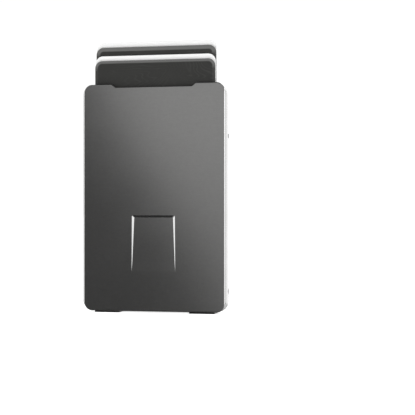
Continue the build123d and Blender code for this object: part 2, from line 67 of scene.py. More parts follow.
# ------------------------------------------------------------------ node helper
class Mat:
    """A node material. Coordinates are the object's own, in millimetres."""

    def __init__(self, name, **fixed):
        self.m = bpy.data.materials.new(name)
        self.m.use_nodes = True
        self.t = self.m.node_tree
        self.t.nodes.clear()
        self.out = self.t.nodes.new("ShaderNodeOutputMaterial")
        self.b = self.t.nodes.new("ShaderNodeBsdfPrincipled")
        self.t.links.new(self.b.outputs[0], self.out.inputs[0])
        for k, v in fixed.items():
            self.b.inputs[k.replace("_", " ")].default_value = v
        tc = self.tc = self.t.nodes.new("ShaderNodeTexCoord")
        self.co = self.vmath("SCALE", tc.outputs["Object"], scale=1000.0)
        self.heights = []

    def link(self, a, b):
        if isinstance(a, (int, float)):
            b.default_value = a
        elif isinstance(a, (tuple, list)):
            b.default_value = a
        else:
            self.t.links.new(a, b)

    def math(self, op, a, b=None, c=None, clamp=False):
        n = self.t.nodes.new("ShaderNodeMath")
        n.operation = op
        n.use_clamp = clamp
        for i, v in enumerate((a, b, c)):
            if v is not None:
                self.link(v, n.inputs[i])
        return n.outputs[0]

    def vmath(self, op, a, b=None, scale=None):
        n = self.t.nodes.new("ShaderNodeVectorMath")
        n.operation = op
        self.link(a, n.inputs[0])
        if b is not None:
            self.link(b, n.inputs[1])
        if scale is not None:
            n.inputs["Scale"].default_value = scale
        return n.outputs["Value"] if op in ("LENGTH", "DOT_PRODUCT", "DISTANCE") else n.outputs[0]

    def stretch(self, s, rot=(0, 0, 0), loc=(0, 0, 0)):
        n = self.t.nodes.new("ShaderNodeMapping")
        n.inputs["Scale"].default_value = s
        n.inputs["Rotation"].default_value = rot
        n.inputs["Location"].default_value = loc
        self.t.links.new(self.co, n.inputs["Vector"])
        return n.outputs[0]

    def noise(self, scale, detail=2.0, rough=0.5, co=None, distortion=0.0):
        n = self.t.nodes.new("ShaderNodeTexNoise")
        n.inputs["Scale"].default_value = scale
        n.inputs["Detail"].default_value = detail
        n.inputs["Roughness"].default_value = rough
        n.inputs["Distortion"].default_value = distortion
        self.t.links.new(co or self.co, n.inputs["Vector"])
        return n.outputs[0]

    def voronoi(self, scale, feature="F1", co=None, randomness=1.0):
        n = self.t.nodes.new("ShaderNodeTexVoronoi")
        n.feature = feature
        n.inputs["Scale"].default_value = scale
        n.inputs["Randomness"].default_value = randomness
        self.t.links.new(co or self.co, n.inputs["Vector"])
        return n.outputs["Distance"]

    def ramp(self, x, lo, hi, out_lo=0.0, out_hi=1.0, smooth=True):
        n = self.t.nodes.new("ShaderNodeMapRange")
        n.interpolation_type = "SMOOTHSTEP" if smooth else "LINEAR"
        n.clamp = True
        for k, v in (("From Min", lo), ("From Max", hi), ("To Min", out_lo), ("To Max", out_hi)):
            n.inputs[k].default_value = v
        self.link(x, n.inputs["Value"])
        return n.outputs[0]

    def mix(self, f, a, b):
        n = self.t.nodes.new("ShaderNodeMix")
        n.data_type = "RGBA"
        self.link(f, n.inputs[0])
        for v, s in ((a, n.inputs[6]), (b, n.inputs[7])):
            if isinstance(v, (tuple, list)) and len(v) == 3:
                v = (*v, 1.0)
            self.link(v, s)
        return n.outputs[2]

    def xyz(self, co=None):
        n = self.t.nodes.new("ShaderNodeSeparateXYZ")
        self.t.links.new(co or self.co, n.inputs[0])
        return n.outputs

    def edge(self, radius_mm, samples=6):
        """0 on flat faces, towards 1 on convex and concave edges."""
        bv = self.t.nodes.new("ShaderNodeBevel")
        bv.samples = samples
        bv.inputs["Radius"].default_value = radius_mm * MM
        geo = self.t.nodes.new("ShaderNodeNewGeometry")
        d = self.vmath("DOT_PRODUCT", bv.outputs[0], geo.outputs["Normal"])
        self.bevel_normal = bv.outputs[0]
        return self.ramp(d, 0.995, 0.85)

    def bump(self, height, dist_mm, strength=1.0):
        self.heights.append((height, dist_mm, strength))

    def color(self, c):
        self.link(c if not (isinstance(c, tuple) and len(c) == 3) else (*c, 1.0), self.b.inputs["Base Color"])

    def rough(self, r):
        self.link(r, self.b.inputs["Roughness"])

    def done(self, normal=None):
        last = normal
        for h, d, s in self.heights:
            n = self.t.nodes.new("ShaderNodeBump")
            n.inputs["Strength"].default_value = s
            n.inputs["Distance"].default_value = d * MM
            self.t.links.new(h, n.inputs["Height"])
            if last is not None:
                self.t.links.new(last, n.inputs["Normal"])
            last = n.outputs[0]
        if last is not None:
            self.t.links.new(last, self.b.inputs["Normal"])
        return self.m


# ------------------------------------------------------------------ materials
def plate_material():
    """Dark grey anodised aluminium, fine bead-blasted, a touch brighter where the edges are worn.
    The sloping walls of the thumb groove are cut after anodising and show bare polished metal."""
    m = Mat("anodised_plate", Metallic=1.0)
    grain = m.noise(9.0, 3.0, 0.6)
    pits = m.voronoi(5.5)
    mid = m.noise(1.3, 3.0, 0.55)
    wide = m.noise(0.05, 2.0, 0.5)
    streak = m.noise(1.0, 2.0, 0.6, co=m.stretch((0.35, 3.0, 3.0)))
    tone = m.math("MULTIPLY_ADD", mid, 0.026, 0.142)
    tone = m.math("MULTIPLY_ADD", wide, 0.014, tone)
    tone = m.math("MULTIPLY_ADD", streak, 0.018, tone)
    comb = m.t.nodes.new("ShaderNodeCombineColor")
    m.link(tone, comb.inputs[0])
    m.link(m.math("MULTIPLY", tone, 0.998), comb.inputs[1])
    m.link(m.math("MULTIPLY", tone, 0.985), comb.inputs[2])
    wear = m.edge(0.12)
    broken = m.math("MULTIPLY", wear, m.ramp(m.noise(1.7, 4.0, 0.65), 0.30, 0.62, 0.25, 1.0))
    col = m.mix(m.math("MULTIPLY", broken, 0.35), comb.outputs[0], (0.40, 0.40, 0.395))
    # groove walls: where the surface tips sideways or down, inside the groove's outline
    nx, ny, nz = m.xyz(m.tc.outputs["Normal"])
    x, y, z = m.xyz()
    wall = m.math("MAXIMUM", m.ramp(m.math("ABSOLUTE", nx), 0.12, 0.30), m.ramp(nz, -0.30, -0.12, 1.0, 0.0))
    here = m.math("MULTIPLY", m.ramp(m.math("ABSOLUTE", x), 10.3, 10.5, 1.0, 0.0),
                  m.math("MULTIPLY", m.ramp(z, 14.0, 14.5), m.ramp(z, 43.2, 43.5, 1.0, 0.0)))
    here = m.math("MULTIPLY", here, m.ramp(y, -4.7, -4.6, 1.0, 0.0))
    cutm = m.math("MULTIPLY", wall, here)
    m.color(m.mix(cutm, col, (0.88, 0.88, 0.875)))
    r = m.math("MULTIPLY_ADD", mid, 0.05, 0.285)
    r = m.math("MULTIPLY_ADD", wide, 0.03, r)
    r = m.math("SUBTRACT", r, m.math("MULTIPLY", broken, 0.08))
    m.rough(m.math("MULTIPLY_ADD", cutm, -0.18, r))
    m.bump(grain, 0.006, 0.45)
    m.bump(m.ramp(pits, 0.0, 0.6), 0.004, 0.35)
    return m.done(m.bevel_normal)


def rail_material():
    """Polished aluminium: near mirror, with faint lengthwise polishing lines and hairline marks."""
    m = Mat("polished_rail", Metallic=1.0)
    line = m.noise(1.0, 3.0, 0.6, co=m.stretch((14.0, 14.0, 0.12)))
    smudge = m.noise(0.16, 3.0, 0.55)
    hair = m.noise(1.0, 1.0, 0.5, co=m.stretch((2.0, 2.0, 22.0), rot=(0.5, 0.2, 0.0)))
    m.color(m.mix(m.ramp(smudge, 0.3, 0.7), (0.90, 0.90, 0.895), (0.94, 0.94, 0.94)))
    wear = m.edge(0.12)
    r = m.math("MULTIPLY_ADD", line, 0.09, 0.13)
    r = m.math("MULTIPLY_ADD", m.ramp(hair, 0.62, 0.70), 0.08, r)
    r = m.math("MULTIPLY_ADD", smudge, 0.06, r)
    m.rough(m.math("MULTIPLY_ADD", wear, 0.08, r))
    m.bump(line, 0.0012, 0.5)
    return m.done(m.bevel_normal)


def clip_material():
    """Satin black coated spring steel with a fine lengthwise grain; its colour also carries painted shade on the
    waist and lip and a painted highlight low on the base.
    """
    m = Mat("black_spring_sheet", Metallic=1.0)
    m.b.inputs["Specular IOR Level"].default_value = 0.5
    line = m.noise(1.0, 3.0, 0.6, co=m.stretch((9.0, 9.0, 0.25)))
    fine = m.noise(7.0, 2.0, 0.5)
    smudge = m.noise(0.07, 3.0, 0.6, distortion=0.6)
    wear = m.edge(0.14)
    broken = m.math("MULTIPLY", wear, m.ramp(m.noise(1.3, 4.0, 0.7), 0.35, 0.65, 0.2, 1.0))
    base = m.mix(smudge, (0.0085, 0.0085, 0.0087), (0.0115, 0.0115, 0.0118))
    # painted shade: the lip over the crease and the waist are painted blackest, standing in for their darker
    # reflections
    x, y, z = m.xyz()
    painted_shade_waist = m.ramp(z, 14.0, 50.0, 0.35, 0.0)
    base = m.mix(m.math("MAXIMUM", painted_shade_waist, m.ramp(z, 56.0, 56.8, 0.0, 0.78)), base, (0.0018, 0.0018, 0.0018))
    # painted highlight: the base is painted paler in a soft patch where it flares out over its lower bend,
    # standing in for a reflection of light
    ex, ez = m.math("DIVIDE", m.math("ADD", x, 15.0), 27.0), m.math("DIVIDE", m.math("SUBTRACT", z, 2.0), 17.0)
    er = m.math("SQRT", m.math("ADD", m.math("MULTIPLY", ex, ex), m.math("MULTIPLY", ez, ez)))
    painted_highlight = m.math("MULTIPLY", m.ramp(er, 0.0, 1.05, 1.0, 0.0), m.ramp(z, 4.0, 5.2))
    base = m.mix(painted_highlight, base, (0.140, 0.140, 0.141))
    m.color(m.mix(m.math("MULTIPLY", broken, 0.6), base, (0.30, 0.30, 0.30)))
    r = m.math("MULTIPLY_ADD", line, 0.08, 0.25)
    r = m.math("MULTIPLY_ADD", smudge, 0.07, r)
    m.rough(m.math("MULTIPLY_ADD", fine, 0.03, r))
    m.bump(line, 0.002, 0.4)
    m.bump(fine, 0.002, 0.35)
    return m.done(m.bevel_normal)


def steel_material(name, tone, rough, stretch):
    m = Mat(name, Metallic=1.0)
    line = m.noise(1.0, 3.0, 0.6, co=m.stretch(stretch))
    spot = m.noise(1.1, 3.0, 0.6)
    wear = m.edge(0.05)
    m.color(m.mix(spot, (tone * 0.86, tone * 0.86, tone * 0.85), (tone, tone, tone)))
    r = m.math("MULTIPLY_ADD", line, 0.16, rough)
    m.rough(m.math("SUBTRACT", r, m.math("MULTIPLY", wear, 0.08)))
    m.bump(line, 0.002, 0.5)
    return m.done(m.bevel_normal)


def plastic_material(name, tone, rough, grain_scale):
    """Moulded plastic: spark-eroded grain, faint flow marks, edges rubbed a little shinier."""
    m = Mat(name)
    m.b.inputs["Specular IOR Level"].default_value = 0.45
    cells = m.voronoi(grain_scale)
    soft = m.noise(grain_scale * 0.8, 2.0, 0.5)
    flow = m.noise(0.12, 3.0, 0.6, distortion=1.5)
    lo, hi = tuple(t * 0.82 for t in tone), tuple(t * 1.15 for t in tone)
    wear = m.edge(0.2)
    m.color(m.mix(m.math("MULTIPLY", wear, 0.35), m.mix(flow, lo, hi), tuple(min(1, t * 2.2) for t in tone)))
    r = m.math("MULTIPLY_ADD", soft, 0.12, rough)
    m.rough(m.math("SUBTRACT", r, m.math("MULTIPLY", wear, 0.15)))
    m.bump(m.ramp(cells, 0.0, 0.7), 0.012, 0.6)
    m.bump(soft, 0.008, 0.5)
    return m.done(m.bevel_normal)


def felt_material():
    m = Mat("black_felt", Roughness=0.95)
    m.b.inputs["Sheen Weight"].default_value = 0.25
    m.b.inputs["Sheen Roughness"].default_value = 0.5
    m.b.inputs["Specular IOR Level"].default_value = 0.2
    fibre = m.noise(1.0, 3.0, 0.7, co=m.stretch((12.0, 12.0, 3.0), rot=(0.0, 0.7, 0.0)), distortion=2.0)
    fibre2 = m.noise(1.0, 3.0, 0.7, co=m.stretch((3.0, 12.0, 12.0), rot=(0.0, 0.3, 0.0)), distortion=2.0)
    tuft = m.noise(0.9, 3.0, 0.6)
    f = m.math("MAXIMUM", fibre, fibre2)
    m.color(m.mix(m.ramp(f, 0.4, 0.75), (0.010, 0.010, 0.011), (0.045, 0.045, 0.047)))
    m.bump(f, 0.06, 0.8)
    m.bump(tuft, 0.05, 0.6)
    return m.done()


def dark_card_material(name, top, width):
    """Charcoal card with a faint wavy relief like pressed grain, flecks, and a painted highlight: a paler bevelled
    band of the given width along the top edge, round its corners and, fainter, down the sides, where light from
    above catches the bevel."""
    m = Mat(name)
    m.b.inputs["Specular IOR Level"].default_value = 0.12
    hills = m.noise(0.045, 2.0, 0.4, co=m.stretch((0.55, 1.0, 1.9), rot=(0, 0.12, 0)), distortion=0.7)
    steps = m.math("FRACT", m.math("MULTIPLY", hills, 34.0))
    line = m.ramp(m.math("ABSOLUTE", m.math("SUBTRACT", steps, 0.5)), 0.05, 0.22, 1.0, 0.0)
    fade = m.ramp(m.noise(0.05, 2.0, 0.5), 0.42, 0.62)
    line = m.math("MULTIPLY", line, m.math("MULTIPLY_ADD", fade, 0.8, 0.2))
    fleck = m.ramp(m.noise(1.0, 2.0, 0.6, co=m.stretch((2.2, 2.2, 0.55))), 0.70, 0.80)
    grain = m.noise(6.0, 3.0, 0.6)
    cloud = m.noise(0.09, 3.0, 0.55)
    base = m.mix(cloud, (0.0265, 0.0265, 0.0253), (0.0350, 0.0350, 0.0332))
    base = m.mix(m.math("MULTIPLY", line, 0.22), base, (0.062, 0.062, 0.059))
    base = m.mix(m.math("MULTIPLY", fleck, 0.16), base, (0.15, 0.15, 0.13))
    x, y, z = m.xyz()
    qx = m.math("SUBTRACT", m.math("ABSOLUTE", x), 26.99 - 3.18)
    qz = m.math("SUBTRACT", z, top - 3.18)
    ox, oz = m.math("MAXIMUM", qx, 0.0), m.math("MAXIMUM", qz, 0.0)
    out = m.math("SQRT", m.math("ADD", m.math("MULTIPLY", ox, ox), m.math("MULTIPLY", oz, oz)))
    inn = m.math("MINIMUM", m.math("MAXIMUM", qx, qz), 0.0)
    e = m.math("SUBTRACT", 3.18, m.math("ADD", out, inn))        # distance in from the card's outline
    # painted highlight: the band along the top edge is painted paler, strongest at the top and fainter down the
    # sides
    band = m.math("MULTIPLY", m.ramp(e, width - 0.15, width + 0.45, 1.0, 0.0), m.ramp(qz, -1.5, 1.2, 0.16, 1.0))
    base = m.mix(m.math("MULTIPLY", band, 0.80), base, (0.150, 0.150, 0.147))
    wear = m.edge(0.10)
    m.color(m.mix(m.math("MULTIPLY", wear, 0.30), base, (0.16, 0.16, 0.155)))
    r = m.math("MULTIPLY_ADD", grain, 0.10, 0.50)
    m.rough(m.math("SUBTRACT", r, m.math("MULTIPLY", line, 0.08)))
    m.bump(line, 0.014, 0.6)
    m.bump(grain, 0.004, 0.4)
    return m.done(m.bevel_normal)


def white_card_material():
    """Plain white card, semi-gloss, with faint orange peel and a greyer laminated edge."""
    m = Mat("white_card")
    m.b.inputs["Specular IOR Level"].default_value = 0.30
    m.b.inputs["Coat Weight"].default_value = 0.08
    m.b.inputs["Coat Roughness"].default_value = 0.15
    peel = m.noise(0.7, 2.0, 0.5)
    grain = m.noise(8.0, 2.0, 0.5)
    tint = m.noise(0.06, 2.0, 0.5)
    y = m.xyz()
    layer = m.ramp(m.math("ABSOLUTE", m.math("SINE", m.math("MULTIPLY", y[1], 12.0))), 0.0, 0.25)
    base = m.mix(tint, (0.860, 0.860, 0.856), (0.890, 0.890, 0.886))
    ny = m.xyz(m.tc.outputs["Normal"])[1]
    side = m.ramp(m.math("ABSOLUTE", ny), 0.45, 0.80, 1.0, 0.0)
    core = m.mix(layer, (0.62, 0.62, 0.615), (0.76, 0.76, 0.755))
    base = m.mix(side, base, core)
    wear = m.edge(0.10)
    m.color(m.mix(m.math("MULTIPLY", wear, m.math("MULTIPLY_ADD", layer, 0.10, 0.06)), base, (0.70, 0.70, 0.69)))
    m.rough(m.math("MULTIPLY_ADD", peel, 0.10, 0.34))
    m.bump(peel, 0.008, 0.4)
    m.bump(grain, 0.0015, 0.3)
    return m.done(m.bevel_normal)


def note_material():
    """Cotton paper with generic engraved line work: a plain margin, a grey guilloche band and a
    green rosette. It carries no lettering, numbers, portrait or seal."""
    m = Mat("engraved_paper", Roughness=0.8)
    m.b.inputs["Specular IOR Level"].default_value = 0.25
    s = m.xyz()
    x, z = s[0], s[2]
    fibre = m.noise(1.0, 4.0, 0.65, co=m.stretch((5.0, 5.0, 1.4), rot=(0, 0.5, 0)), distortion=1.5)
    blot = m.noise(0.12, 3.0, 0.6)
    paper = m.mix(blot, (0.770, 0.762, 0.672), (0.820, 0.812, 0.728))
    paper = m.mix(m.math("MULTIPLY", m.ramp(fibre, 0.35, 0.7), 0.7), paper, (0.740, 0.731, 0.636))

    def wave(freq_x, amp, pitch, phase, a=None, b=None):
        """Thin lines along z rows, rippled along x: 1 on a line."""
        a, b = a or x, b or z
        r = m.math("MULTIPLY", m.math("SINE", m.math("MULTIPLY_ADD", a, freq_x, phase)), amp)
        q = m.math("FRACT", m.math("DIVIDE", m.math("ADD", b, r), pitch))
        return m.ramp(m.math("ABSOLUTE", m.math("SUBTRACT", q, 0.5)), 0.12, 0.24, 1.0, 0.0)

    def inside(v, lo, hi, soft=0.08):
        return m.math("MULTIPLY", m.ramp(v, lo - soft, lo + soft), m.ramp(v, hi - soft, hi + soft, 1.0, 0.0))

    def over(a, b):
        return m.math("MAXIMUM", a, b)

    top = NOTE["top"]
    band = inside(z, top - 9.6, top - 4.0)
    gu = over(wave(2.1, 0.55, 0.42, 0.0), wave(2.1, -0.55, 0.42, 0.0))
    # a row of small lobed rosettes, left pale inside the band
    cell = m.math("SUBTRACT", m.math("MODULO", m.math("ADD", x, 101.5), 5.8), 2.9)
    cz = m.math("SUBTRACT", z, top - 6.8)
    rr = m.math("SQRT", m.math("ADD", m.math("MULTIPLY", cell, cell), m.math("MULTIPLY", m.math("MULTIPLY", cz, 1.15), m.math("MULTIPLY", cz, 1.15))))
    th = m.math("ARCTAN2", cz, cell)
    lobe = m.math("MULTIPLY_ADD", m.math("SINE", m.math("MULTIPLY", th, 7.0)), 0.22, rr)
    ring = m.ramp(m.math("ABSOLUTE", m.math("SINE", m.math("MULTIPLY", lobe, 7.5))), 0.25, 0.55, 1.0, 0.0)
    disc = m.ramp(lobe, 1.9, 2.05, 1.0, 0.0)
    band_ink = m.math("MULTIPLY", band, m.math("ADD", m.math("MULTIPLY", m.math("SUBTRACT", 1.0, disc), m.math("MULTIPLY_ADD", gu, 0.58, 0.38)),
                                                   m.math("MULTIPLY", disc, m.math("MULTIPLY_ADD", ring, 0.75, 0.08)), clamp=True))
    frame_line = over(inside(z, top - 4.25, top - 3.95, 0.04), inside(z, top - 9.9, top - 9.6, 0.04))

    # body below the band: fine parallel lines, a ruled panel and ripples
    body = m.ramp(z, top - 10.2, top - 10.5, 0.0, 1.0)
    fine = m.math("MULTIPLY", wave(0.9, 0.25, 0.62, 0.6), 0.22)
    panel = inside(z, top - 17.5, top - 12.0)
    hatch = m.math("MULTIPLY", panel, over(wave(1.6, 0.8, 0.85, 1.1), m.math("MULTIPLY", wave(1.6, -0.8, 0.85, 1.1), 0.8)))
    panel_line = over(inside(z, top - 17.8, top - 17.5, 0.05), inside(z, top - 11.9, top - 11.65, 0.05))
    low = inside(z, top - 60.5, top - 44.0)
    scroll = m.math("MULTIPLY", low, wave(0.75, 1.5, 2.3, 0.4))
    body_ink = m.math("MULTIPLY", body, over(over(fine, m.math("MULTIPLY", hatch, 1.0)), over(m.math("MULTIPLY", panel_line, 0.8), m.math("MULTIPLY", scroll, 0.75))))

    # green rosette
    gx, gz = NOTE["rosette"]
    dx, dz = m.math("SUBTRACT", x, gx), m.math("SUBTRACT", z, gz)
    gr = m.math("SQRT", m.math("ADD", m.math("MULTIPLY", dx, dx), m.math("MULTIPLY", dz, dz)))
    gt = m.math("ARCTAN2", dz, dx)
    w1 = m.math("MULTIPLY_ADD", m.math("SINE", m.math("MULTIPLY", gt, 14.0)), 0.55, gr)
    w2 = m.math("MULTIPLY_ADD", m.math("SINE", m.math("MULTIPLY_ADD", gt, 14.0, 3.14159)), 0.55, gr)
    rings = over(m.ramp(m.math("ABSOLUTE", m.math("SINE", m.math("MULTIPLY", w1, 3.4))), 0.2, 0.5, 1.0, 0.0),
                 m.ramp(m.math("ABSOLUTE", m.math("SINE", m.math("MULTIPLY", w2, 3.4))), 0.2, 0.5, 1.0, 0.0))
    rim = m.ramp(w1, NOTE["rosette_r"] - 0.05, NOTE["rosette_r"] + 0.15, 1.0, 0.0)
    hole = m.ramp(gr, 2.2, 2.5)
    rose = m.math("MULTIPLY", m.math("MULTIPLY", rim, hole), m.math("MULTIPLY_ADD", rings, 0.80, 0.16))

    ink = m.math("MAXIMUM", m.math("MAXIMUM", band_ink, m.math("MULTIPLY", frame_line, 0.75)), body_ink)
    bite = m.ramp(m.noise(4.0, 3.0, 0.7), 0.25, 0.6, 0.72, 1.0)
    c = m.mix(m.math("MULTIPLY", ink, bite), paper, (0.085, 0.088, 0.080))
    c = m.mix(m.math("MULTIPLY", rose, bite), c, (0.045, 0.215, 0.085))
    m.color(c)
    m.bump(fibre, 0.010, 0.5)
    m.bump(m.math("MAXIMUM", ink, rose), 0.006, 0.6)
    m.bump(blot, 0.03, 0.3)
    return m.done()


nlo, nhi = (Vector(c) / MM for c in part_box("banknote"))
NOTE = {"top": nhi.z, "rosette": (-15.6, nhi.z - 29.5), "rosette_r": 6.4}

MATERIALS = {
    "plate": plate_material(),
    "rail": rail_material(),
    "clip": clip_material(),
    "screw": steel_material("screw_steel", 0.62, 0.22, (2.0, 2.0, 9.0)),
    "spring": steel_material("spring_steel", 0.55, 0.20, (9.0, 9.0, 0.6)),
    "guide": plastic_material("guide_plastic", (0.022, 0.022, 0.023), 0.42, 4.0),
    "lifter": plastic_material("lifter_plastic", (0.060, 0.060, 0.062), 0.40, 4.5),
    "pad": felt_material(),
    "card_dark": dark_card_material("charcoal_card", (Vector(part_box("card_1")[1]) / MM).z, 1.0),
    # card 3 gets its own copy of the card material, with a wider painted highlight band along its top edge
    "card_dark_3": dark_card_material("charcoal_card_3", (Vector(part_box("card_3")[1]) / MM).z, 1.55),
    "card_white": white_card_material(),
    "note": note_material(),
}
SLOT_OF = {
    "front_plate": "plate", "back_plate": "plate", "left_side_rail": "rail", "right_side_rail": "rail",
    "left_card_guide": "guide", "right_card_guide": "guide", "left_bottom_block": "guide",
    "right_bottom_block": "guide", "left_card_spring": "spring", "right_card_spring": "spring",
    "lifter_detent_springs": "spring", "rear_card_pad": "pad", "front_card_pad": "pad",
    "card_lifter": "lifter", "lifter_screws": "screw", "rail_screws": "screw", "guide_screws": "screw",
    "clip_screws": "screw", "slider_stop_lugs": "screw", "money_clip_foot": "clip",
    "money_clip_leaf": "clip", "card_1": "card_dark", "card_2": "card_white", "card_3": "card_dark_3",
    "card_4": "card_white", "banknote": "note",
}
for node, slot in SLOT_OF.items():
    o = NODES[node]
    if not o.material_slots:
        o.data.materials.append(MATERIALS[slot])
    for s in o.material_slots:
        s.material = MATERIALS[slot]


# ------------------------------------------------------------------ mesh helper
def add_mesh(name, verts, faces, slot, smooth_angle=35.0):
    me = bpy.data.meshes.new(name)
    me.from_pydata([tuple(v) for v in verts], [], faces)
    bm = bmesh.new()
    bm.from_mesh(me)
    bmesh.ops.remove_doubles(bm, verts=bm.verts, dist=1e-7)
    bmesh.ops.recalc_face_normals(bm, faces=bm.faces)
    for f in bm.faces:
        f.smooth = True
    for e in bm.edges:
        e.smooth = not (len(e.link_faces) == 2 and e.calc_face_angle() > math.radians(smooth_angle))
    bm.to_mesh(me)
    bm.free()
    o = bpy.data.objects.new(name, me)
    scene.collection.objects.link(o)
    me.materials.append(MATERIALS[slot])
    return o


def bake_modifiers(o):
    dg = bpy.context.evaluated_depsgraph_get()
    me = bpy.data.meshes.new_from_object(o.evaluated_get(dg))
    o.modifiers.clear()
    old = o.data
    o.data = me
    bpy.data.meshes.remove(old)


# ------------------------------------------------------------------ money clip: one bent sheet
Y_MID, Z_LIFT = 5.8, 0.65
BODY_T, CLIP_T, CLIP_RI = 7.3, 0.65, 3.65
BASE, STRIP, LEG0, LEG_IN = 26.9, 12.65, 0.55, 15.6
CREASE, CTOP, LEAN0, LEAN1, FLARE = 56.4, 63.4, 5.4, 0.9, 15.0
RM = CLIP_RI + CLIP_T / 2
A1 = math.radians(90 + LEAN0)
HINGE = (BODY_T + RM * math.sin(A1), CLIP_RI - RM * math.cos(A1))
L0, L1, FL = (math.radians(v) for v in (LEAN0, LEAN1, FLARE))
LEAF_R = (CREASE - HINGE[1]) / (math.sin(L0) - math.sin(L1))


def mid_line():
    """Points (d, h) and outward normals along the sheet's middle, from the legs' ends to the lip."""
    pts = []
    n = 16
    for i in range(n):
        d = LEG0 + (BODY_T - LEG0) * i / n
        pts.append(((d, -CLIP_T / 2), (0.0, -1.0)))
    n = 28
    for i in range(n + 1):
        a = A1 * i / n
        pts.append(((BODY_T + RM * math.sin(a), CLIP_RI - RM * math.cos(a)), (math.sin(a), -math.cos(a))))
    n = 40
    for i in range(1, n + 1):
        a = L0 + (L1 - L0) * (i / n) * 0.95
        pts.append(((HINGE[0] - LEAF_R * (math.cos(a) - math.cos(L0)), HINGE[1] + LEAF_R * (math.sin(L0) - math.sin(a))),
                    (math.cos(a), math.sin(a))))
    # crease: the direction turns from the leaf's lean to the lip's flare over 3.4 mm
    (d, h), _ = pts[-1]
    a0 = L0 + (L1 - L0) * 0.95
    n, turn = 12, 4.2
    for i in range(1, n + 1):
        t = (i - 0.5) / n
        a = -a0 + (FL + a0) * (t * t * (3 - 2 * t))
        d, h = d + turn / n * math.sin(a), h + turn / n * math.cos(a)
        t = i / n
        a = -a0 + (FL + a0) * (t * t * (3 - 2 * t))
        pts.append(((d, h), (math.cos(a), -math.sin(a))))
    n = 6
    top = CTOP - 0.01
    length = (top - h) / math.cos(FL)
    for i in range(1, n + 1):
        s = length * i / n
        pts.append(((d + s * math.sin(FL), h + s * math.cos(FL)), (math.cos(FL), -math.sin(FL))))
    return pts


FLANK = [(40.0, 12.65), (35.4, 12.8), (30.0, 13.4), (24.8, 14.4), (19.4, 15.95), (14.3, 17.9), (11.4, 19.4)]


def half_width(h):
    """Half width of the clip at height h: straight strip, concave flank, straight flare."""
    if h >= 40.0:
        return STRIP
    if h <= 11.4:
        return min(BASE, 19.4 + 0.655 * (11.4 - h))
    ks = [p[0] for p in FLANK][::-1]
    vs = [p[1] for p in FLANK][::-1]
    sl = [-0.655]
    for i in range(1, len(ks) - 1):
        sl.append((vs[i + 1] - vs[i - 1]) / (ks[i + 1] - ks[i - 1]))
    sl.append(0.0)
    for i in range(len(ks) - 1):
        if ks[i] <= h <= ks[i + 1]:
            w = ks[i + 1] - ks[i]
            t = (h - ks[i]) / w
            return ((2 * t ** 3 - 3 * t ** 2 + 1) * vs[i] + (t ** 3 - 2 * t ** 2 + t) * w * sl[i]
                    + (-2 * t ** 3 + 3 * t ** 2) * vs[i + 1] + (t ** 3 - t ** 2) * w * sl[i + 1])
    return STRIP


